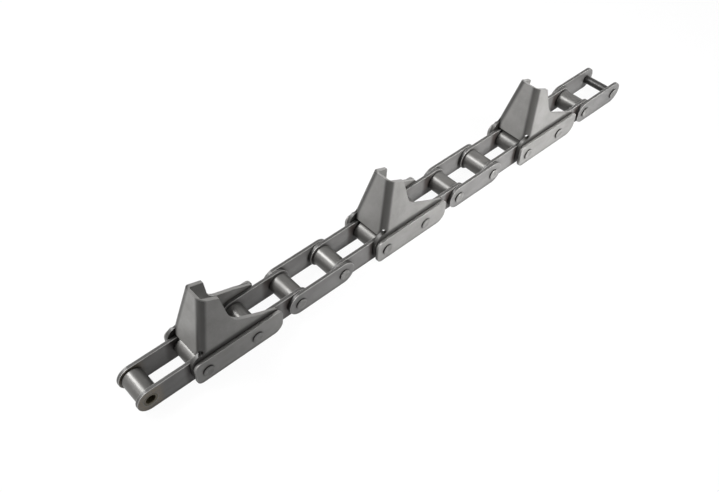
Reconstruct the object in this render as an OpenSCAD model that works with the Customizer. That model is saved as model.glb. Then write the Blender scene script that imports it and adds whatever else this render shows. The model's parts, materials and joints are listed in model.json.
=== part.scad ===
// Baler chain: steel roller chain with a tall pressed U bracket on every fourth link.
// The chain lies straight along X, its pins lie along Y and the brackets stand up along Z.
// The near side is the side towards -Y and the front end is the end towards -X.

/* [Chain] */
// Distance between neighbouring pins
pitch = 41.4; // [38:0.1:46]
// Number of links, a whole number of groups of four
link_count = 12; // [4:4:12]
// Room between the two inner plates
inner_width = 20.24; // [18:0.1:24]
// Side play between an inner plate and the outer plate beside it
plate_play = 0.35; // [0.2:0.05:0.6]

/* [Plates] */
// Height of a plain link plate
plate_height = 20.2; // [18.5:0.1:22]
// Thickness of every plate
plate_thickness = 2.8; // [2.4:0.1:3.2]

/* [Bushes and rollers] */
// Outer diameter of a bush
bush_diameter = 10.6; // [10:0.1:11.5]
// Outer diameter of a roller
roller_diameter = 16.66; // [15:0.02:17.6]
// Radial running clearance of a roller on its bush
roller_clearance = 0.1; // [0.05:0.01:0.1]
// Side play of a roller at each end
roller_play = 0.3; // [0.2:0.05:0.6]
// Chamfer on the edges of a roller
roller_chamfer = 0.6; // [0.3:0.1:1]

/* [Pins] */
// Diameter of a pin
pin_diameter = 7.16; // [6:0.02:8]
// Radial running clearance of a pin in its bush
pin_clearance = 0.08; // [0.04:0.01:0.1]
// Radial seat clearance of a pressed pin or bush in its plate
seat_clearance = 0.02; // [0.01:0.01:0.05]
// Diameter of a riveted pin head
head_diameter = 8.8; // [8.4:0.1:10.5]
// Height of a riveted pin head
head_height = 1.3; // [1:0.1:2]
// Radius round the rim of a riveted pin head
head_rim = 0.6; // [0.2:0.1:0.8]

/* [Bracket side plates] */
// Height of a side plate above the pin line
side_plate_rise = 10.9; // [10:0.1:12]
// Length of a side plate past the rear pin
side_plate_tail = 22.6; // [18:0.1:24]
// Radius of the top rear corner of a side plate
tail_top_radius = 4.5; // [2:0.1:7]
// Radius of the bottom rear corner of a side plate
tail_bottom_radius = 8.5; // [4:0.1:9.5]
// Radius of the front corners of a side plate
nose_radius = 5; // [3:0.1:9.5]
// Distance of a side plate's front end behind the front end of the bracket's ear
nose_setback = 0.5; // [0.1:0.1:3]

/* [Bracket] */
// Height of the bracket's web above the pin line
bracket_height = 57; // [48:0.1:62]
// Fall of the top edge from the web to the rear edges of the flanges
top_fall = 6; // [1:0.1:9]
// Height of the ears above the pin line, in front of the folds
ear_rise = 16.4; // [13:0.1:18]
// Radius of the ears' upper front corners
ear_radius = 9; // [5:0.1:10]
// Height of the lower edge of the web above the pin line
web_bottom = 12.2; // [11.6:0.1:13]
// Place of the web's front face behind the front pin, at its lower edge
web_foot = -3.6; // [-5:0.1:-1]
// Place of the web's front face behind the front pin, at its top edge
web_head = 7.2; // [4:0.1:12]
// Width of the bracket over its flanges at the top edge of the web
top_width = 18; // [15:0.1:24]
// Inside radius of the two folds between web and flanges
fold_radius = 1.2; // [0.8:0.1:3]
// Place of the flange's rear edge behind the front pin, at the top edge
flange_head = 20.8; // [18:0.1:24]
// Place behind the front pin of the corner between the rear edge and the low wall
wall_corner_x = 25.2; // [23:0.1:29]
// Height above the pin line of the corner between the rear edge and the low wall
wall_corner_z = 27.2; // [23:0.1:31]
// Distance from the tail's end to where the low wall has run down to the side plate
wall_inset = 5.3; // [3:0.1:9]
// Radius of the hollow curve in the corner between the rear edge and the low wall
hollow_radius = 15; // [8:0.1:17]
// Radius of the relief notch at the foot of each fold
notch_radius = 1.7; // [1:0.1:2.1]

/* [Hidden] */
// Roundness of circles and arcs
$fn = 64;

// Distances across the chain, from the middle plane outwards
inner_plate_y = inner_width / 2;
outer_plate_y = inner_plate_y + plate_thickness + plate_play;
side_plate_y = outer_plate_y + plate_thickness;
plain_pin_y = outer_plate_y + plate_thickness;
long_pin_y = side_plate_y + plate_thickness;

// Radii of round pieces
pin_r = pin_diameter / 2;
bush_r = bush_diameter / 2;
bush_bore_r = pin_r + pin_clearance;
roller_r = roller_diameter / 2;
roller_bore_r = bush_r + roller_clearance;
plate_r = plate_height / 2;
head_r = head_diameter / 2;
rim_steps = 4;

// Bracket shape
tail_end = pitch + side_plate_tail;
wall_end = tail_end - wall_inset;
flange_inset = 1.5;
fold_outer = fold_radius + plate_thickness;
foot_half = side_plate_y;
head_half = top_width / 2;
fold_steps = 6;
hollow_steps = 8;
wall_steps = 5;
edge_steps = 5;
overlap = 0.6;
notch_z = ear_rise + overlap / 2;
crease_z = ear_rise + overlap;

// The kinds of link repeat in groups of four: inner, bracket, inner, plain outer
group = 4;
function is_inner(k) = k % 2 == 1;
function is_bracket(k) = k % group == 2;
function link_name(k) = str("link", k < 10 ? "0" : "", k);
INNER_PIECES = ["near_plate", "far_plate", "bushes", "front_roller", "rear_roller"];
BRACKET_PIECES = ["bracket", "near_side_plate", "far_side_plate", "long_pins"];
OUTER_PIECES = ["near_plate", "far_plate", "pins"];
function pieces_of(k) = is_inner(k) ? INNER_PIECES : is_bracket(k) ? BRACKET_PIECES : OUTER_PIECES;

// Colours as the photograph shows them
plate_colour = [0.34, 0.34, 0.33];
bracket_colour = [0.5, 0.5, 0.48];
side_plate_colour = [0.44, 0.44, 0.43];
roller_colour = [0.42, 0.42, 0.4];
pin_colour = [0.48, 0.48, 0.46];

// Moves a link's piece from the first pin to the link's own front pin and the pin line up to its height
module at_link(k) {
    translate([(k - 1 - link_count / 2) * pitch, 0, plate_r]) children();
}

// Stands a flat outline up in the XZ plane, from y0 outwards by the plate thickness
module upright(side, y0) {
    y_low = side < 0 ? -y0 - plate_thickness : y0;
    translate([0, y_low + plate_thickness, 0]) rotate([90, 0, 0])
        linear_extrude(height = plate_thickness) children();
}

// Outline of a plain link plate: two round ends joined by straight edges
module stadium() {
    circle(r = plate_r);
    translate([pitch, 0]) circle(r = plate_r);
    translate([0, -plate_r]) square([pitch, plate_height]);
}

// A rectangle with a radius of its own at each corner
module rounded_rectangle(x0, x1, z0, z1, front_low, rear_low, rear_high, front_high) {
    translate([x0 + front_low, z0 + front_low]) circle(r = front_low);
    translate([x1 - rear_low, z0 + rear_low]) circle(r = rear_low);
    translate([x1 - rear_high, z1 - rear_high]) circle(r = rear_high);
    translate([x0 + front_high, z1 - front_high]) circle(r = front_high);
    polygon([
        [x0 + front_low, z0], [x1 - rear_low, z0],
        [x1, z0 + rear_low], [x1, z1 - rear_high],
        [x1 - rear_high, z1], [x0 + front_high, z1],
        [x0, z1 - front_high], [x0, z0 + front_low]
    ]);
}

// A round hole at each of a link's two pins
module pin_holes(radius) {
    for (x = [0, pitch]) translate([x, 0]) circle(r = radius);
}

// Plain plate of an inner or an outer link
module link_plate(side, y0, hole_r) {
    color(plate_colour) upright(side, y0) difference() {
        stadium();
        pin_holes(hole_r);
    }
}

// The two bushes pressed into the inner plates
module bushes() {
    length = 2 * (inner_plate_y + plate_thickness);
    color(pin_colour) for (x = [0, pitch]) translate([x, length / 2, 0]) rotate([90, 0, 0])
        difference() {
            cylinder(r = bush_r, h = length);
            translate([0, 0, -overlap]) cylinder(r = bush_bore_r, h = length + 2 * overlap);
        }
}

// A roller that turns on its bush
module roller(x) {
    half = inner_plate_y - roller_play;
    c = roller_chamfer;
    color(roller_colour) translate([x, 0, 0]) rotate([90, 0, 0]) rotate_extrude()
        polygon([
            [roller_bore_r, -half], [roller_r - c, -half], [roller_r, c - half],
            [roller_r, half - c], [roller_r - c, half], [roller_bore_r, half]
        ]);
}

// Half outline of a riveted head that stands on a plate at y: flank, round rim and flat top
function head_outline(y) = concat(
    [[head_r, y]],
    [for (i = [0 : rim_steps]) let (a = 90 * i / rim_steps)
        [head_r - head_rim + head_rim * cos(a), y + head_height - head_rim + head_rim * sin(a)]],
    [[0, y + head_height]]
);

// The two pins of an outer link, riveted over the plates at both ends
module riveted_pins(half) {
    upper = head_outline(half);
    lower = [for (i = [len(upper) - 1 : -1 : 0]) [upper[i][0], -upper[i][1]]];
    color(pin_colour) for (x = [0, pitch]) translate([x, 0, 0]) rotate([90, 0, 0])
        rotate_extrude() polygon(concat(lower, [[pin_r, -half], [pin_r, half]], upper));
}

// Side plate outside the bracket flange, with its tail past the rear pin
module side_plate(side) {
    color(side_plate_colour) upright(side, side_plate_y) difference() {
        rounded_rectangle(nose_setback - plate_r, tail_end, -plate_r, side_plate_rise,
            nose_radius, tail_bottom_radius, tail_top_radius, nose_radius);
        pin_holes(pin_r + seat_clearance);
    }
}

// Share of the way up from the web's lower edge, and up from the flanges' creases, to the top edge
function rise(z) = (z - web_bottom) / (bracket_height - web_bottom);
function lean(z) = max(0, (z - crease_z) / (bracket_height - crease_z));
function mix(a, b, t) = a + (b - a) * t;
function half_width(z) = mix(foot_half, head_half, lean(z));
function web_front(z) = mix(web_foot, web_head, rise(z));

// Lower part of a bracket flange: the outer link plate with its tail, and the ear in front of the fold
module flange_foot_plate(side) {
    ear_end = web_front(ear_rise) + fold_outer + plate_thickness;
    upright(side, outer_plate_y) difference() {
        union() {
            rounded_rectangle(-plate_r, tail_end - flange_inset, -plate_r, web_bottom,
                plate_r, tail_bottom_radius - flange_inset, tail_top_radius, plate_r);
            rounded_rectangle(-plate_r, ear_end, 0, ear_rise, overlap, overlap, overlap, ear_radius);
        }
        pin_holes(pin_r + seat_clearance);
    }
}

// Rear edge of the flange as a list of [x, z]: low wall, hollow corner, steep edge below the top
function way(a) = [cos(a), sin(a)];
function across(a) = [sin(a), -cos(a)];
wall_start = [wall_end, web_bottom];
wall_corner = [wall_corner_x, wall_corner_z];
edge_end = [flange_head, bracket_height - top_fall];
wall_angle = atan2(wall_corner[1] - wall_start[1], wall_corner[0] - wall_start[0]);
wall_share = (crease_z - web_bottom) / (wall_corner_z - web_bottom);
wall_crease = [mix(wall_end, wall_corner_x, wall_share), crease_z];
edge_angle = atan2(edge_end[1] - wall_corner[1], edge_end[0] - wall_corner[0]);
hollow_reach = hollow_radius * tan((wall_angle - edge_angle) / 2);
hollow_start = wall_corner - hollow_reach * way(wall_angle);
hollow_end = wall_corner + hollow_reach * way(edge_angle);
hollow_centre = hollow_start + hollow_radius * across(wall_angle);
REAR_EDGE = concat(
    [[wall_end, web_bottom - overlap], wall_start],
    [for (i = [0 : wall_steps - 1]) mix(wall_crease, hollow_start, i / wall_steps)],
    [for (i = [0 : hollow_steps]) let (a = mix(wall_angle, edge_angle, i / hollow_steps))
        hollow_centre - hollow_radius * across(a)],
    [for (i = [1 : edge_steps - 1]) mix(hollow_end, edge_end, i / edge_steps)]
);

// Plan outline of the upper bracket at one height, outside first and then inside
function arc_points(cx, cy, rx, ry, a0, a1) = [
    for (i = [0 : fold_steps]) let (a = mix(a0, a1, i / fold_steps)) [cx + rx * cos(a), cy + ry * sin(a)]
];
function plan_ring(z, rear) =
    let (
        h = half_width(z), f = web_front(z), c = f + fold_outer, s = h - fold_outer,
        r = fold_radius, o = fold_outer, t = plate_thickness
    )
    concat(
        [[rear, -h]],
        arc_points(c, -s, o, o, 270, 180),
        arc_points(c, s, o, o, 180, 90),
        [[rear, h], [rear, h - t]],
        arc_points(c, s, r, r, 90, 180),
        arc_points(c, -s, r, r, 180, 270),
        [[rear, t - h]]
    );

// Top ring, which falls from the web to the rear ends of the flanges
top_slope = top_fall / (flange_head - web_head);
web_slope = (web_head - web_foot) / (bracket_height - web_bottom);
function top_level(x) = x < flange_head
    ? bracket_height - top_slope * (x - web_head) / (1 + top_slope * web_slope)
    : edge_end[1];
TOP_RING = [
    for (i = [0 : len(plan_ring(bracket_height, flange_head)) - 1])
        let (z = top_level(plan_ring(bracket_height, flange_head)[i][0]), p = plan_ring(z, flange_head)[i])
            [p[0], p[1], z]
];

// Upper bracket: leaning web, two folds and the flanges, as one shell between its rings
module upper_shell() {
    level_rings = [for (e = REAR_EDGE) [for (p = plan_ring(e[1], e[0])) [p[0], p[1], e[1]]]];
    rings = concat(level_rings, [TOP_RING]);
    n = len(rings[0]);
    m = len(rings);
    points = [for (ring = rings) for (p = ring) p];
    sides = [
        for (j = [0 : m - 2]) for (i = [0 : n - 1])
            let (a = j * n + i, b = j * n + (i + 1) % n, c = b + n, d = a + n)
                each [[a, b, c], [a, c, d]]
    ];
    half_ring = n / 2;
    caps = [
        for (i = [0 : half_ring - 2])
            let (a = i, b = i + 1, c = n - 2 - i, d = n - 1 - i, u = (m - 1) * n)
                each [[a, d, c], [a, c, b], [u + a, u + b, u + c], [u + a, u + c, u + d]]
    ];
    polyhedron(points = points, faces = concat(sides, caps), convexity = 6);
}

// Round notch cut through the foot of a fold, where the sheet would tear as it is folded
module relief_notch(side) {
    translate([web_front(notch_z) + fold_outer, side * (foot_half - fold_outer), notch_z])
        rotate([0, -90, -45 * side]) cylinder(r = notch_radius, h = 2 * fold_outer);
}

// Pressed U bracket: web, folds, flanges and the two lower plates with their pin holes
module bracket() {
    color(bracket_colour) difference() {
        union() {
            flange_foot_plate(-1);
            flange_foot_plate(1);
            upper_shell();
        }
        relief_notch(-1);
        relief_notch(1);
    }
}

// Draws the pieces of one inner link
module inner_link(k) {
    name = link_name(k);
    hole_r = bush_r + seat_clearance;
    at_link(k) link_plate(-1, inner_plate_y, hole_r);
    at_link(k) link_plate(1, inner_plate_y, hole_r);
    at_link(k) bushes();
    at_link(k) roller(0);
    at_link(k) roller(pitch);
}

// Draws the pieces of one plain outer link
module outer_link(k) {
    name = link_name(k);
    hole_r = pin_r + seat_clearance;
    at_link(k) link_plate(-1, outer_plate_y, hole_r);
    at_link(k) link_plate(1, outer_plate_y, hole_r);
    at_link(k) riveted_pins(plain_pin_y);
}

// Draws the pieces of one bracket link
module bracket_link(k) {
    name = link_name(k);
    at_link(k) bracket();
    at_link(k) side_plate(-1);
    at_link(k) side_plate(1);
    at_link(k) riveted_pins(long_pin_y);
}

for (k = [1 : link_count]) {
    if (is_inner(k)) inner_link(k);
    if (is_bracket(k)) bracket_link(k);
    if (!is_inner(k) && !is_bracket(k)) outer_link(k);
}
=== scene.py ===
"""Looks of the baler chain: every link's plates, rollers, pins and pressed brackets in oiled dark steel."""
import json
from math import cos, radians, sin

import bmesh
import bpy
from mathutils import Matrix, Vector


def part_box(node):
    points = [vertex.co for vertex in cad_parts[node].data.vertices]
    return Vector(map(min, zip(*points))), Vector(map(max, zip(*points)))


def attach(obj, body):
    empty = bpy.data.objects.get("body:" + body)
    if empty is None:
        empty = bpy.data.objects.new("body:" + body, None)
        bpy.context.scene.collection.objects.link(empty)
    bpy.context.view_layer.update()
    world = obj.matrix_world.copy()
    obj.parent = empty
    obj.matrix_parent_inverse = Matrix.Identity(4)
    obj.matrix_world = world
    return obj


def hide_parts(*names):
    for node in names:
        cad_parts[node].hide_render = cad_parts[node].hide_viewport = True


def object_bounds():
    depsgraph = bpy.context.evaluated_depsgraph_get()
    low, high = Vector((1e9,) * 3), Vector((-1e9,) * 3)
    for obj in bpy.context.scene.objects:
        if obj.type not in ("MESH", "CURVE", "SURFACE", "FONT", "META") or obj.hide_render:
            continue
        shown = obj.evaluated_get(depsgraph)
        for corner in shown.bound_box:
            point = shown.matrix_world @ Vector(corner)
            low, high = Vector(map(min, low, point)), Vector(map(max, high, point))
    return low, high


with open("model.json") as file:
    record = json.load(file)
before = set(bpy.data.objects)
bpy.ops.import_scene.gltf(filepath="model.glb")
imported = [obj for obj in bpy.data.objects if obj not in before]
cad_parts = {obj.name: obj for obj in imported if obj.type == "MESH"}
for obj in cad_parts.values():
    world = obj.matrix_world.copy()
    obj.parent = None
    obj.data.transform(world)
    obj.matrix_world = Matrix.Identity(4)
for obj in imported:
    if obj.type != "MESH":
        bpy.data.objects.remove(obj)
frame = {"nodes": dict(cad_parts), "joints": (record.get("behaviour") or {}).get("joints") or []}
cad_low, cad_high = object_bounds()

# Sizes in metres, named in millimetres
MM = 0.001
PIN_R = 3.58 * MM
BUSH_R = 5.30 * MM
BUSH_BORE_R = 3.66 * MM
BUSH_BORE_CHAMFER = 0.4 * MM
BUSH_RIM_CHAMFER = 0.1 * MM
ROLLER_BORE_R = 5.40 * MM
ROLLER_CHAMFER = 0.60 * MM
# Share of a roller's chamfer at which its outline has one more corner, which rounds it
ROLLER_ROUNDING = 0.3
# Riveted heads: height, round rim, dimple and the thin step under a head
HEAD_H = 1.30 * MM
HEAD_RIM = 0.60 * MM
HEAD_RIM_STEPS = 4
HEAD_STEP = 0.01 * MM
DIMPLE_R = 2.2 * MM
DIMPLE_DEPTH = 0.25 * MM
# Corners of a side plate
NOSE_R = 5.0 * MM
TAIL_TOP_R = 4.5 * MM
TAIL_BOTTOM_R = 8.5 * MM
CORNER_STEPS = 14
CORNER_FOUND = 0.01 * MM
# Eased edges: the widths asked for, and the angles in degrees above which an edge is eased or looks sharp
EDGE_EASE = 0.40 * MM
EDGE_ANGLE = 40
BRACKET_EASE = 0.60 * MM
BRACKET_EDGE_ANGLE = 50
SMOOTH_ANGLE = 32
BRACKET_SMOOTH_ANGLE = 36
# Bracket, measured from the link's front pin: the web's front face and the flanges' outer faces
WEB_BOTTOM, WEB_TOP = 12.2 * MM, 57.0 * MM
WEB_FOOT, WEB_HEAD = -3.6 * MM, 7.2 * MM
CREASE = 17.0 * MM
FOOT_HALF, HEAD_HALF = 16.07 * MM, 9.0 * MM
SIDE_PLATE_RISE = 10.9 * MM
# Modelling: how far a cutter stands out, how near points count as one, the bend in degrees under which
# faces count as one, and the sides of a round
CUT_MARGIN = 2.0 * MM
TURNED_MERGE = 0.002 * MM
CARRIED_MERGE = 0.005 * MM
FLAT_ANGLE = 1.0
ROUND = 66
TURNED_ROUND = 72

# Places taken from the frame: the pins' line and the links
joints = {joint["name"]: joint for joint in frame["joints"]}
LINKS = 12
PIN_Z = joints["hinge_01"]["pos_m"][2]
PITCH = joints["hinge_02"]["pos_m"][0] - joints["hinge_01"]["pos_m"][0]
FIRST_PIN_X = joints["hinge_01"]["pos_m"][0] - PITCH
# The pins that the first bracket link's side plates seat on
SIDE_PLATE_PINS = (1, 2)


def pin_x(number):
    """Place along the chain of a pin, counted from the free bush end."""
    return FIRST_PIN_X + number * PITCH


def link_kind(link):
    """Inner, bracket or outer: the order in which the links repeat."""
    if link % 2:
        return "inner"
    return "bracket" if link % 4 == 2 else "outer"


# Modelling helpers
def choose(piece):
    """Makes a piece the only selected object and the active one."""
    bpy.ops.object.select_all(action="DESELECT")
    piece.select_set(True)
    bpy.context.view_layer.objects.active = piece


def edit(piece):
    """Opens a piece in edit mode with nothing selected."""
    choose(piece)
    bpy.ops.object.mode_set(mode="EDIT")
    bpy.ops.mesh.select_all(action="DESELECT")


def pick(piece, kind, test):
    """Selects, in edit mode, the vertices or the edges whose middle passes a test."""
    bpy.ops.mesh.select_all(action="DESELECT")
    bpy.ops.mesh.select_mode(type=kind)
    mesh = bmesh.from_edit_mesh(piece.data)
    if kind == "VERT":
        found = [(vertex, vertex.co) for vertex in mesh.verts]
    else:
        found = [(edge, (edge.verts[0].co + edge.verts[1].co) / 2) for edge in mesh.edges]
    for element, middle in found:
        if test(middle):
            element.select_set(True)
    mesh.select_flush_mode()
    bmesh.update_edit_mesh(piece.data)


def close_edit():
    """Leaves edit mode."""
    bpy.ops.object.mode_set(mode="OBJECT")


def place(piece):
    """Moves a piece's place into its mesh, so that its object sits at the origin."""
    choose(piece)
    bpy.ops.object.transform_apply(location=True, rotation=True, scale=True)


def modify(piece, kind, **settings):
    """Adds a modifier with its settings and applies it."""
    choose(piece)
    modifier = piece.modifiers.new(kind.title(), kind)
    for key, value in settings.items():
        setattr(modifier, key, value)
    bpy.ops.object.modifier_apply(modifier=modifier.name)


def shade(piece, angle=SMOOTH_ANGLE):
    """Smooths the faces that meet at less than an angle, and keeps a flat face beside an eased edge flat."""
    choose(piece)
    bpy.ops.object.shade_smooth_by_angle(angle=radians(angle))
    modify(piece, "WEIGHTED_NORMAL", mode="FACE_AREA", weight=50, keep_sharp=True)


def ease_edges(piece, width=EDGE_EASE, angle=EDGE_ANGLE):
    """Rounds a pressed piece's sharp edges a little, as tumbling does, and gives them the second finish.

    The width is held back where the mesh has no room for it.
    """
    piece.data.materials.clear()
    for _ in range(2):
        piece.data.materials.append(None)
    modify(piece, "BEVEL", width=width, segments=2, limit_method="ANGLE", material=1,
           angle_limit=radians(angle), harden_normals=False, use_clamp_overlap=True)


def drill(piece, x, radius, low_y, high_y):
    """Cuts a round hole across the chain through a piece."""
    bpy.ops.object.select_all(action="DESELECT")
    bpy.ops.mesh.primitive_cylinder_add(
        vertices=ROUND, radius=radius, depth=high_y - low_y + 2 * CUT_MARGIN,
        location=(x, (low_y + high_y) / 2, PIN_Z), rotation=(radians(90), 0, 0))
    cutter = bpy.context.object
    place(cutter)
    modify(piece, "BOOLEAN", operation="DIFFERENCE", object=cutter, solver="EXACT")
    bpy.data.objects.remove(cutter)


# A circle in the XZ plane whose first vertex lies along the chain
FACING_ACROSS = Matrix(((0, 1, 0), (0, 0, 1), (1, 0, 0))).to_euler()


def disc(name, x, y, radius, vertices, fill_type):
    """A circle across the chain, in a piece of its own, to draw a form out of."""
    bpy.ops.object.select_all(action="DESELECT")
    bpy.ops.mesh.primitive_circle_add(
        vertices=vertices, radius=radius, fill_type=fill_type, location=(x, y, PIN_Z), rotation=FACING_ACROSS)
    piece = bpy.context.object
    piece.name = name
    place(piece)
    edit(piece)
    return piece


def stadium_plate(name, x, low_y, high_y, radius, hole_r):
    """Plain link plate: a disc pulled out to a stadium, given its thickness, drilled and eased."""
    piece = disc(name, x, low_y, radius, ROUND, "NGON")
    pick(piece, "VERT", lambda middle: middle.x > x)
    bpy.ops.transform.translate(value=(PITCH, 0, 0))
    bpy.ops.mesh.select_all(action="SELECT")
    bpy.ops.mesh.extrude_region_move(TRANSFORM_OT_translate={"value": (0, high_y - low_y, 0)})
    bpy.ops.mesh.select_all(action="SELECT")
    bpy.ops.mesh.normals_make_consistent(inside=False)
    close_edit()
    for pin in (x, x + PITCH):
        drill(piece, pin, hole_r, low_y, high_y)
    ease_edges(piece)
    shade(piece)
    return piece


def turned(name, x, stations, open_bore=False):
    """Turned piece across the chain: a circle drawn on from station to station, each (place, radius)."""
    first_y, first_r = stations[0]
    piece = disc(name, x, first_y, first_r, TURNED_ROUND, "NOTHING" if open_bore else "NGON")
    bpy.ops.mesh.select_mode(type="EDGE" if open_bore else "FACE")
    bpy.ops.mesh.select_all(action="SELECT")
    for (last_y, last_r), (y, r) in zip(stations, stations[1:]):
        bpy.ops.mesh.extrude_region_move(TRANSFORM_OT_translate={"value": (0, y - last_y, 0)})
        bpy.ops.transform.resize(value=(r / last_r, 1, r / last_r), center_override=(x, y, PIN_Z))
    bpy.ops.mesh.select_all(action="SELECT")
    bpy.ops.mesh.remove_doubles(threshold=TURNED_MERGE)
    bpy.ops.mesh.normals_make_consistent(inside=False)
    close_edit()
    shade(piece)
    return piece


def copied(form, name, shift):
    """A copy of a finished form with a mesh of its own, moved to its place."""
    piece = bpy.data.objects.new(name, form.data.copy())
    bpy.context.scene.collection.objects.link(piece)
    piece.data.transform(Matrix.Translation(shift))
    return piece


def joined(name, parts):
    """Several parts made one piece."""
    bpy.ops.object.select_all(action="DESELECT")
    for part in parts:
        part.select_set(True)
    bpy.context.view_layer.objects.active = parts[0]
    bpy.ops.object.join()
    parts[0].name = name
    return parts[0]


# Forms, each modelled once over the first node that has it
def plate_form(node, hole_r):
    """Form of a plain plate."""
    low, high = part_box(node)
    radius = (high.z - low.z) / 2
    return stadium_plate("form_" + node, low.x + radius, low.y, high.y, radius, hole_r)


def side_plate_form(node):
    """Side plate: a block with four corner radii of its own, a tail past the rear pin and eased edges."""
    low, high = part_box(node)
    middle_y = (low.y + high.y) / 2
    bpy.ops.object.select_all(action="DESELECT")
    bpy.ops.mesh.primitive_cube_add(size=1, location=(low + high) / 2, scale=high - low)
    piece = bpy.context.object
    piece.name = "form_" + node
    place(piece)
    corners = (
        (low.x, low.z, NOSE_R), (low.x, high.z, NOSE_R),
        (high.x, high.z, TAIL_TOP_R), (high.x, low.z, TAIL_BOTTOM_R),
    )
    for corner_x, corner_z, radius in corners:
        edit(piece)
        pick(piece, "EDGE", lambda middle: max(
            abs(middle.x - corner_x), abs(middle.z - corner_z), abs(middle.y - middle_y)) < CORNER_FOUND)
        bpy.ops.mesh.bevel(offset=radius, offset_type="OFFSET", segments=CORNER_STEPS, affect="EDGES")
        close_edit()
    for number in SIDE_PLATE_PINS:
        drill(piece, pin_x(number), PIN_R, low.y, high.y)
    ease_edges(piece)
    shade(piece)
    return piece


def roller_form(node):
    """Roller: a thick tube with chamfered, slightly rounded edges."""
    low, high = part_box(node)
    radius = (high.z - low.z) / 2
    full, part = ROLLER_CHAMFER, ROLLER_ROUNDING * ROLLER_CHAMFER
    outline = [
        (low.y, ROLLER_BORE_R), (low.y, radius - full), (low.y + part, radius - part), (low.y + full, radius),
        (high.y - full, radius), (high.y - part, radius - part), (high.y, radius - full),
        (high.y, ROLLER_BORE_R), (low.y, ROLLER_BORE_R),
    ]
    return turned("form_" + node, (low.x + high.x) / 2, outline, open_bore=True)


def bush_form(node):
    """Bush: a tube through both inner plates, its ends chamfered inside."""
    low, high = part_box(node)
    bore, rim = BUSH_BORE_CHAMFER, BUSH_RIM_CHAMFER
    outline = [
        (low.y + bore, BUSH_BORE_R), (low.y, BUSH_BORE_R + bore), (low.y, BUSH_R - rim),
        (low.y + rim, BUSH_R), (high.y - rim, BUSH_R), (high.y, BUSH_R - rim),
        (high.y, BUSH_BORE_R + bore), (high.y - bore, BUSH_BORE_R), (low.y + bore, BUSH_BORE_R),
    ]
    return turned("form_" + node, low.x + BUSH_R, outline, open_bore=True)


def head_outline(radius):
    """Half outline of a riveted head, as (height, radius): flank, round rim, flat ring and dimple."""
    angles = [radians(90 * step / HEAD_RIM_STEPS) for step in range(HEAD_RIM_STEPS + 1)]
    rim = [
        (HEAD_H - HEAD_RIM + HEAD_RIM * sin(angle), radius - HEAD_RIM + HEAD_RIM * cos(angle))
        for angle in angles
    ]
    dimple = [
        (HEAD_H, DIMPLE_R), (HEAD_H - 0.5 * DIMPLE_DEPTH, 0.8 * DIMPLE_R),
        (HEAD_H - DIMPLE_DEPTH, 0.4 * DIMPLE_R),
    ]
    return [(0, radius)] + rim + dimple


def pin_form(node):
    """Riveted pin: a shank with a round-rimmed, dimpled head formed at each end."""
    low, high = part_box(node)
    head_r = (high.x - low.x - PITCH) / 2
    near = [(low.y + HEAD_H - height, radius) for height, radius in reversed(head_outline(head_r))]
    far = [(high.y - HEAD_H + height, radius) for height, radius in head_outline(head_r)]
    shank = [(low.y + HEAD_H + HEAD_STEP, PIN_R), (high.y - HEAD_H - HEAD_STEP, PIN_R)]
    return turned("form_" + node, low.x + head_r, near + shank + far)


def bracket_form(node):
    """Pressed bracket: the carried shape merged to one shell, its sheared edges eased."""
    source = frame["nodes"][node]
    piece = bpy.data.objects.new("form_" + node, source.data.copy())
    piece.data.materials.clear()
    bpy.context.scene.collection.objects.link(piece)
    edit(piece)
    bpy.ops.mesh.select_all(action="SELECT")
    bpy.ops.mesh.remove_doubles(threshold=CARRIED_MERGE)
    bpy.ops.mesh.dissolve_limited(angle_limit=radians(FLAT_ANGLE))
    bpy.ops.mesh.customdata_custom_splitnormals_clear()
    close_edit()
    ease_edges(piece, BRACKET_EASE, BRACKET_EDGE_ANGLE)
    shade(piece, BRACKET_SMOOTH_ANGLE)
    return piece


# Finishes
def linear(code):
    """A linear colour from an sRGB hex code."""
    parts = [int(code[i:i + 2], 16) / 255 for i in (1, 3, 5)]
    return (*[c / 12.92 if c <= 0.04045 else ((c + 0.055) / 1.055) ** 2.4 for c in parts], 1)


def add(tree, kind, inputs=(), **settings):
    """Adds a node with its settings, its values and its links."""
    node = tree.nodes.new(kind)
    for key, value in settings.items():
        setattr(node, key, value)
    for socket, value in inputs:
        if isinstance(value, bpy.types.NodeSocket):
            tree.links.new(value, node.inputs[socket])
        else:
            node.inputs[socket].default_value = value
    return node


def two_stops(tree, value, stops, colours):
    """A colour that runs from one to another while a value runs from one stop to the other."""
    node = add(tree, "ShaderNodeValToRGB", [("Fac", value)])
    for element, position, colour in zip(node.color_ramp.elements, stops, colours):
        element.position = position
        element.color = colour
    return node.outputs["Color"]


def calculate(tree, operation, *values):
    """A sum, a product or another calculation of one or more values."""
    return add(tree, "ShaderNodeMath", list(enumerate(values)), operation=operation).outputs["Value"]


def remap(tree, value, start, end, low, high, kind="LINEAR"):
    """A value that runs from low to high while another runs from start to end."""
    return add(tree, "ShaderNodeMapRange", [
        ("Value", value), ("From Min", start), ("From Max", end), ("To Min", low), ("To Max", high)],
        interpolation_type=kind).outputs["Result"]


def noise(tree, point, size, detail, roughness=0.5):
    """Noise with patches of a size, in metres."""
    return add(tree, "ShaderNodeTexNoise", [("Vector", point), ("Scale", 1 / size), ("Detail", detail),
                                            ("Roughness", roughness)]).outputs["Fac"]


def blend(tree, factor, under, over, blend_type="MIX"):
    """One colour laid over another by a factor."""
    return add(tree, "ShaderNodeMix", [("Factor", factor), ("A", under), ("B", over)],
               data_type="RGBA", blend_type=blend_type).outputs["Result"]


def mix_shaders(tree, factor, first, second):
    """Two shaders mixed by a factor: 0 is the first and 1 is the second."""
    return add(tree, "ShaderNodeMixShader", [("Fac", factor), (1, first), (2, second)]).outputs["Shader"]


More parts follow.
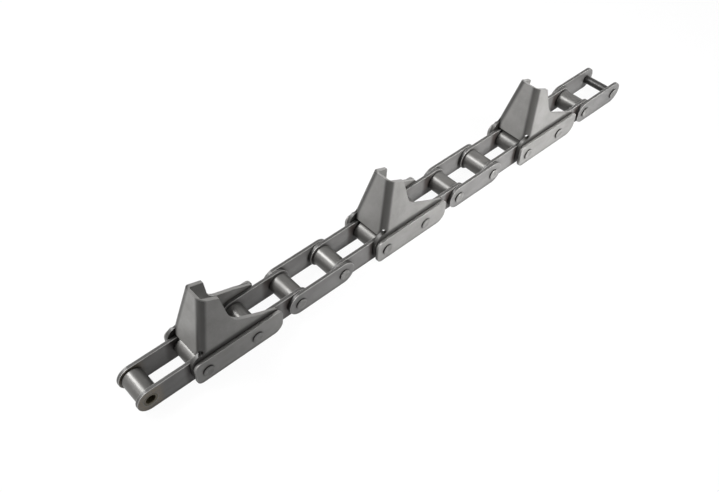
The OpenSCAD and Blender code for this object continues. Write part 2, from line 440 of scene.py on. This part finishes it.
def white_light(tree, kind, strength):
    """An emission or a background in white, where a strength of 1 is white in the picture."""
    return add(tree, kind, [("Color", linear("#ffffff")), ("Strength", strength)]).outputs[0]


# Where the marks fade, in metres: painted shade counted out from a fold, painted shadow up from a side plate
# and along the chain from a pin as it comes and as it goes, and rust along the chain from the first pin
FOLD_SHADE = (3.2 * MM, 6.2 * MM)
LEDGE_SHADOW = (2.5 * MM, 6.5 * MM)
SHADOW_COMES, SHADOW_GOES = (-16.0 * MM, -11.5 * MM), (-8.0 * MM, -4.0 * MM)
RUST_REACH = (5.0 * MM, 12.0 * MM)
# A rust speck's size, the noise between which it grows, and how much of the brown it shows
RUST_SIZE = 1.1 * MM
RUST_NOISE, RUST_SHARE = (0.38, 0.62), (0.15, 0.85)
# How far behind a flange's outer face the outside ends
FLANGE_SKIN = 0.8 * MM


def painted_shade_on_bracket(tree, point):
    """1 along the two folds, as painted shade, and on the flanges just above the side plates, as painted
    shadow; 0 on the open sheet.

    Every fourth link has a bracket, so the place along the chain is taken from its own front pin.
    """
    parts = add(tree, "ShaderNodeSeparateXYZ", [("Vector", point)])
    height = calculate(tree, "SUBTRACT", parts.outputs["Z"], PIN_Z)
    from_first = calculate(tree, "SUBTRACT", parts.outputs["X"], pin_x(1))
    own_x = calculate(tree, "WRAP", from_first, 3 * PITCH, -PITCH)
    web_front = remap(tree, height, WEB_BOTTOM, WEB_TOP, WEB_FOOT, WEB_HEAD)
    behind_web = calculate(tree, "SUBTRACT", own_x, web_front)
    half_width = remap(tree, height, CREASE, WEB_TOP, FOOT_HALF, HEAD_HALF)
    inside_flange = calculate(tree, "SUBTRACT", half_width, calculate(tree, "ABSOLUTE", parts.outputs["Y"]))
    round_fold = calculate(tree, "ADD", behind_web, inside_flange)
    fold = remap(tree, round_fold, *FOLD_SHADE, 1.0, 0.0, "SMOOTHSTEP")
    over_side_plate = calculate(tree, "SUBTRACT", height, SIDE_PLATE_RISE)
    ledge = remap(tree, over_side_plate, *LEDGE_SHADOW, 1.0, 0.0, "SMOOTHSTEP")
    outside = calculate(tree, "LESS_THAN", inside_flange, FLANGE_SKIN)
    behind_ear = calculate(tree, "GREATER_THAN", behind_web, 0.0)
    on_flange = calculate(tree, "MULTIPLY", outside, behind_ear)
    return calculate(tree, "MAXIMUM", fold, calculate(tree, "MULTIPLY", ledge, on_flange))


def painted_shadow_before_pins(tree, point):
    """1 on a band of each inner plate in front of a pin, where a shadow beside the next plate is painted.

    The band is full from 11.5 to 8 mm in front of the pin and fades out at 16 and at 4 mm. There is none
    at the chain's free end, where no plate lies outside.
    """
    parts = add(tree, "ShaderNodeSeparateXYZ", [("Vector", point)])
    from_first = calculate(tree, "SUBTRACT", parts.outputs["X"], pin_x(0))
    own_x = calculate(tree, "WRAP", from_first, PITCH / 2, -PITCH / 2)
    coming = remap(tree, own_x, *SHADOW_COMES, 0.0, 1.0, "SMOOTHSTEP")
    going = remap(tree, own_x, *SHADOW_GOES, 1.0, 0.0, "SMOOTHSTEP")
    past_first = calculate(tree, "GREATER_THAN", from_first, 0.0)
    return calculate(tree, "MULTIPLY", calculate(tree, "MULTIPLY", coming, going), past_first)


def rust_on_free_end(tree, point):
    """Specks of brown rust round the open bush at the chain's free end."""
    parts = add(tree, "ShaderNodeSeparateXYZ", [("Vector", point)])
    from_first = calculate(tree, "SUBTRACT", parts.outputs["X"], pin_x(0))
    near_end = remap(tree, from_first, *RUST_REACH, 1.0, 0.0, "SMOOTHSTEP")
    amount = remap(tree, noise(tree, point, RUST_SIZE, 3.0), *RUST_NOISE, *RUST_SHARE)
    return calculate(tree, "MULTIPLY", near_end, amount)


BLACK, WHITE = linear("#000000"), linear("#ffffff")
# Painted shade in the corners, as a share of the steel's own colour
CORNER_SHADE = linear("#7c7a76")
# Sizes of the patches
MOTTLE_SIZE = 12 * MM
SPOT_SIZE = 1.6 * MM
PIT_SIZE = 0.9 * MM
WAVE_SIZE = 7 * MM
# How much of the rubbed colour a rubbed spot shows
SPOT_SHARE = 0.12
# Stops of the noise or shade between which one colour runs to the next
MOTTLE_STOPS = (0.30, 0.62)
SPOT_STOPS = (0.55, 0.75)
CORNER_STOPS = (0.42, 0.96)
# How far a face may look along the pins, as a share, before it no longer counts as a cut face
CUT_FACING = (0.3, 0.6)
# The mottling's noise, and how much rougher or smoother than the mean it makes the steel
SHEEN_NOISE = (0.3, 0.7)
DULLER, GLOSSIER = 0.08, 0.06


def steel(name, body, dark, bright, roughness, metallic=0.2, grain=(1.0, 1.0, 1.0), pits=0.05,
          waves=0.08, reach=4.0, stains_and_shade=(), cut=None):
    """Oiled steel: a mottled body colour, painted shade in the corners, fine pits and bright rubbed spots.

    body, dark and bright are hex codes, grain stretches the mottling, pits and waves are the depths of the
    pits and the waviness in millimetres, and reach is how far the painted corner shade stands out of a
    corner, in millimetres. The marks laid over the colour are pairs of a function that says where a mark
    lies and the mark's colour: real stains, and painted shade and shadow. cut is a darker colour for the
    faces that don't look along the pins: the faces that the shears left, and a riveted head's flanks.
    """
    material = bpy.data.materials.new(name)
    material.use_nodes = True
    tree = material.node_tree
    tree.nodes.clear()
    coordinates = add(tree, "ShaderNodeTexCoord")
    point = coordinates.outputs["Object"]
    along = add(tree, "ShaderNodeMapping", [("Vector", point), ("Scale", grain)]).outputs["Vector"]
    # Mottling of the oil film, with rubbed spots in it
    mottle = noise(tree, along, MOTTLE_SIZE, 5.0, roughness=0.6)
    mottled = two_stops(tree, mottle, MOTTLE_STOPS, (linear(dark), linear(body)))
    spots = noise(tree, along, SPOT_SIZE, 3.0)
    spotted = two_stops(tree, spots, SPOT_STOPS, (BLACK, (SPOT_SHARE, SPOT_SHARE, SPOT_SHARE, 1)))
    colour = blend(tree, spotted, mottled, linear(bright))
    # Marks laid over the colour: real stains, and painted shade and shadow
    for where, mark_colour in stains_and_shade:
        colour = blend(tree, where(tree, point), colour, linear(mark_colour))
    if cut:
        # The shears cut across the sheet, so a cut face doesn't look along the pins
        facing = add(tree, "ShaderNodeSeparateXYZ", [("Vector", coordinates.outputs["Normal"])])
        sideways = calculate(tree, "ABSOLUTE", facing.outputs["Y"])
        colour = blend(tree, remap(tree, sideways, *CUT_FACING, 1.0, 0.0), colour, linear(cut))
    # Painted shade in the corners beside a neighbour, darker where ambient occlusion finds a neighbour near
    corner = add(tree, "ShaderNodeAmbientOcclusion", [("Distance", reach * MM)], samples=16).outputs["AO"]
    corners = two_stops(tree, corner, CORNER_STOPS, (CORNER_SHADE, WHITE))
    final = blend(tree, 1.0, colour, corners, blend_type="MULTIPLY")
    # Pits, and the slight waviness of rolled stock
    pit = noise(tree, point, PIT_SIZE, 4.0)
    wave = noise(tree, along, WAVE_SIZE, 1.0)
    bump = add(tree, "ShaderNodeBump", [("Height", pit), ("Distance", pits * MM), ("Strength", 1.0)])
    bumps = add(tree, "ShaderNodeBump", [("Height", wave), ("Distance", waves * MM), ("Strength", 1.0),
                                         ("Normal", bump.outputs["Normal"])])
    rough = remap(tree, mottle, *SHEEN_NOISE, roughness + DULLER, roughness - GLOSSIER)
    shader = add(tree, "ShaderNodeBsdfPrincipled", [
        ("Base Color", final), ("Metallic", metallic), ("Roughness", rough),
        ("Normal", bumps.outputs["Normal"])])
    add(tree, "ShaderNodeOutputMaterial", [("Surface", shader.outputs["BSDF"])])
    return material


# Rolled strip, oiled and blackened: dark, even, a soft sheen, with its sheared faces painted darker
rolled_strip = steel(
    "oiled_rolled_strip", "#6c6b6a", "#605f5e", "#8c8b8a", 0.42,
    metallic=0.1, grain=(0.5, 1, 1), reach=5, cut="#3d3c3b")
# The same strip on the inner links, with a painted shadow in front of each pin and rust at the free end
shadow_and_rust_strip = steel(
    "rolled_strip_painted_shadow_and_rust", "#6c6b6a", "#605f5e", "#8c8b8a", 0.42,
    metallic=0.1, grain=(0.5, 1, 1), reach=5, cut="#3d3c3b",
    stains_and_shade=((painted_shadow_before_pins, "#3e3937"), (rust_on_free_end, "#8a7c66")))
# Pressed sheet: drawn smooth over the die, with painted shade in its folds and a painted shadow above its
# side plates
pressed_sheet = steel(
    "pressed_steel_sheet", "#7e7d7b", "#747371", "#a0a09d", 0.42,
    metallic=0.1, reach=5, stains_and_shade=((painted_shade_on_bracket, "#333230"),))
# Thick side plate: mid grey, small pits
side_strip = steel(
    "blanked_side_strip", "#807f7d", "#747371", "#a8a8a5", 0.44,
    metallic=0.14, grain=(0.5, 1, 1), pits=0.08)
# Turned and hardened roller: smooth, dark, half gloss
turned_steel = steel(
    "turned_hardened_steel", "#555452", "#4a4947", "#848381", 0.36,
    metallic=0.35, grain=(1, 0.3, 1), pits=0.004, waves=0.0, reach=2)
# Bush ends: dark, with brown oil
bush_steel = steel("oiled_bush_steel", "#5f5948", "#453e2c", "#8e8672", 0.4)
# Riveted heads: hammered, rubbed bright on top, their flanks painted dark as shade round the head
riveted_steel = steel("riveted_pin_steel", "#7a7977", "#646361", "#b0b0ad", 0.38, pits=0.10, cut="#242322")
# Sheared edges, rubbed bright against the next link and painted brighter as a highlight
worn_edge_highlight = steel("worn_sheared_edge_painted_highlight", "#959492", "#7e7d7b", "#c0bfbc", 0.36, metallic=0.4)
# The bracket's rims, which the crop rubs brighter, painted brighter still as a highlight
worn_rim_highlight = steel("worn_bracket_rim_painted_highlight", "#b2b1ae", "#969593", "#d0cfcc", 0.34, metallic=0.4)


def finish_piece(piece, material, node, body):
    """Gives a piece its finishes and its body, gives the node that it stands for the same finish, and hides
    that node.
    """
    if len(piece.data.materials) == 2:
        piece.data.materials[0] = material
        # The eased edges: worn, and painted brighter as a highlight
        piece.data.materials[1] = worn_rim_highlight if material == pressed_sheet else worn_edge_highlight
    else:
        piece.data.materials.clear()
        piece.data.materials.append(material)
    frame["nodes"][node].data.materials.clear()
    frame["nodes"][node].data.materials.append(material)
    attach(piece, body)
    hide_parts(node)


# The chain
inner_plate = plate_form("link01_near_plate", BUSH_R)
outer_plate = plate_form("link04_near_plate", PIN_R)
side_plate = side_plate_form("link02_near_side_plate")
bracket = bracket_form("link02_bracket")
roller = roller_form("link01_front_roller")
bush = bush_form("link01_bushes")
short_pin = pin_form("link04_pins")
long_pin = pin_form("link02_long_pins")


def shift_to(form_node, node):
    """How far a node lies from the node that its form was made over."""
    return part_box(node)[0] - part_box(form_node)[0]


def pair(form, name, shift):
    """Two copies of a form a pitch apart, as one piece."""
    front = copied(form, name, shift)
    rear = copied(form, name + "_rear", shift + Vector((PITCH, 0, 0)))
    return joined(name, [front, rear])


def dress(link):
    """Makes the pieces of one link."""
    tag, body, kind = f"link{link:02d}_", f"link_{link:02d}", link_kind(link)
    if kind == "inner":
        for side in ("near_plate", "far_plate"):
            piece = copied(inner_plate, tag + side + "_strip", shift_to("link01_near_plate", tag + side))
            finish_piece(piece, shadow_and_rust_strip, tag + side, body)
        piece = pair(bush, tag + "bush_tubes", shift_to("link01_bushes", tag + "bushes"))
        finish_piece(piece, bush_steel, tag + "bushes", body)
        for end, number in (("front_roller", link - 1), ("rear_roller", link)):
            piece = copied(roller, tag + end + "_tube", shift_to("link01_front_roller", tag + end))
            finish_piece(piece, turned_steel, tag + end, f"roller_{number:02d}")
    elif kind == "outer":
        for side in ("near_plate", "far_plate"):
            piece = copied(outer_plate, tag + side + "_strip", shift_to("link04_near_plate", tag + side))
            finish_piece(piece, rolled_strip, tag + side, body)
        piece = pair(short_pin, tag + "riveted_pins", shift_to("link04_pins", tag + "pins"))
        finish_piece(piece, riveted_steel, tag + "pins", body)
    else:
        piece = copied(bracket, tag + "pressed_bracket", shift_to("link02_bracket", tag + "bracket"))
        finish_piece(piece, pressed_sheet, tag + "bracket", body)
        for side in ("near_side_plate", "far_side_plate"):
            piece = copied(side_plate, tag + side + "_strip", shift_to("link02_near_side_plate", tag + side))
            finish_piece(piece, side_strip, tag + side, body)
        piece = pair(long_pin, tag + "riveted_pins", shift_to("link02_long_pins", tag + "long_pins"))
        finish_piece(piece, riveted_steel, tag + "long_pins", body)


for link in range(1, LINKS + 1):
    dress(link)
for form in (inner_plate, outer_plate, side_plate, bracket, roller, bush, short_pin, long_pin):
    bpy.data.objects.remove(form)


# Stage: a white floor that keeps the shadow, and white all round
FLOOR_SIZE = 6.0
FLOOR_GAP = 0.05 * MM
# White that the floor and the world give to the steel's diffuse light
FLOOR_BOUNCE = 0.12
SKY_LIGHT = 0.16
# Share of plain white, beside the lit paper, that a mirror image and the camera find on the floor
MIRRORED_SHARE, SEEN_SHARE = 0.55, 0.95


def seen_white(tree):
    """1 for the rays that see the white background: the camera's, and those mirrored or let through."""
    rays = add(tree, "ShaderNodeLightPath").outputs
    mirrored = calculate(tree, "MAXIMUM", rays["Is Camera Ray"], rays["Is Glossy Ray"])
    return calculate(tree, "MAXIMUM", mirrored, rays["Is Transmission Ray"])


bpy.ops.object.select_all(action="DESELECT")
bpy.ops.mesh.primitive_plane_add(size=FLOOR_SIZE, location=(0, 0, cad_low.z - FLOOR_GAP))
floor = bpy.context.object
floor.name = "floor"
white_paper = bpy.data.materials.new("white_paper")
white_paper.use_nodes = True
tree = white_paper.node_tree
tree.nodes.clear()
table = white_light(tree, "ShaderNodeEmission", FLOOR_BOUNCE)
lit = add(tree, "ShaderNodeBsdfDiffuse", [("Color", WHITE)]).outputs["BSDF"]
glow = white_light(tree, "ShaderNodeEmission", 1.0)
clear = add(tree, "ShaderNodeBsdfTransparent").outputs["BSDF"]
# Rays that see the background find plain white and a share of the lit paper, which keeps a soft shadow:
# a small share for the camera, a larger one for the mirror images in the metal. The camera's white is
# the world's, seen through the floor, and lamps shine through it too, so that the chain is also seen
# where its hinges bend it down past the floor.
rays = add(tree, "ShaderNodeLightPath").outputs
share = remap(tree, rays["Is Camera Ray"], 0.0, 1.0, MIRRORED_SHARE, SEEN_SHARE)
white = mix_shaders(tree, rays["Is Camera Ray"], glow, clear)
paper = mix_shaders(tree, share, lit, white)
seen = mix_shaders(tree, seen_white(tree), table, paper)
lamplit = mix_shaders(tree, rays["Is Shadow Ray"], seen, clear)
add(tree, "ShaderNodeOutputMaterial", [("Surface", lamplit)])
floor.data.materials.append(white_paper)

world = bpy.data.worlds.new("studio")
bpy.context.scene.world = world
world.use_nodes = True
tree = world.node_tree
tree.nodes.clear()
soft = white_light(tree, "ShaderNodeBackground", SKY_LIGHT)
plain = white_light(tree, "ShaderNodeBackground", 1.0)
add(tree, "ShaderNodeOutputWorld", [("Surface", mix_shaders(tree, seen_white(tree), soft, plain))])


def lamp(name, at, aim, size, power, spread=180):
    """A soft square lamp that looks at a point: places and size in metres, watts, and the beam in degrees."""
    bpy.ops.object.select_all(action="DESELECT")
    bpy.ops.object.light_add(type="AREA", location=at)
    light = bpy.context.object
    light.name = name
    light.data.shape = "SQUARE"
    light.data.size = size
    light.data.energy = power
    light.data.spread = radians(spread)
    light.visible_camera = False
    light.rotation_euler = (Vector(aim) - Vector(at)).to_track_quat("-Z", "Y").to_euler()


# The main light, high behind the chain, and two weak fills in front of its free end and its near side
lamp("far_softbox", at=(-0.65, 0.80, 1.23), aim=(0, 0, 0), size=0.50, power=25)
lamp("front_fill", at=(-0.75, 0.15, 0.45), aim=(-0.1, 0, 0.03), size=0.4, power=2.4)
lamp("near_fill", at=(0.18, -0.55, 0.45), aim=(0.11, 0, 0.02), size=0.30, power=1.05, spread=46)

# Camera at the photograph's viewing angle
PHOTO_W, PHOTO_H = 719, 492
FOCUS_PX = 792.8
MIDDLE_PX = (320.0, 256.0)
AZIMUTH, ELEVATION, ROLL = -41.06, 48.57, 0.12
AIM = Vector((-0.08456, 0.0091, PIN_Z))
DISTANCE = 0.5951
SENSOR = 36.0
CLIP_START, CLIP_END = 0.01, 20

camera_data = bpy.data.cameras.new("camera")
camera = bpy.data.objects.new("camera", camera_data)
bpy.context.scene.collection.objects.link(camera)
turn, tilt = radians(AZIMUTH), radians(ELEVATION)
back = Vector((sin(turn) * cos(tilt), -cos(turn) * cos(tilt), sin(tilt)))
camera.location = AIM + back * DISTANCE
upright = (-back).to_track_quat("-Z", "Y").to_matrix()
camera.rotation_euler = (upright @ Matrix.Rotation(radians(ROLL), 3, "Z")).to_euler()
camera_data.sensor_width = SENSOR
camera_data.lens = FOCUS_PX / PHOTO_W * SENSOR
camera_data.shift_x = (PHOTO_W / 2 - MIDDLE_PX[0]) / PHOTO_W
camera_data.shift_y = (MIDDLE_PX[1] - PHOTO_H / 2) / PHOTO_W
camera_data.clip_start, camera_data.clip_end = CLIP_START, CLIP_END
bpy.context.scene.camera = camera
bpy.context.scene.view_settings.view_transform = "Standard"
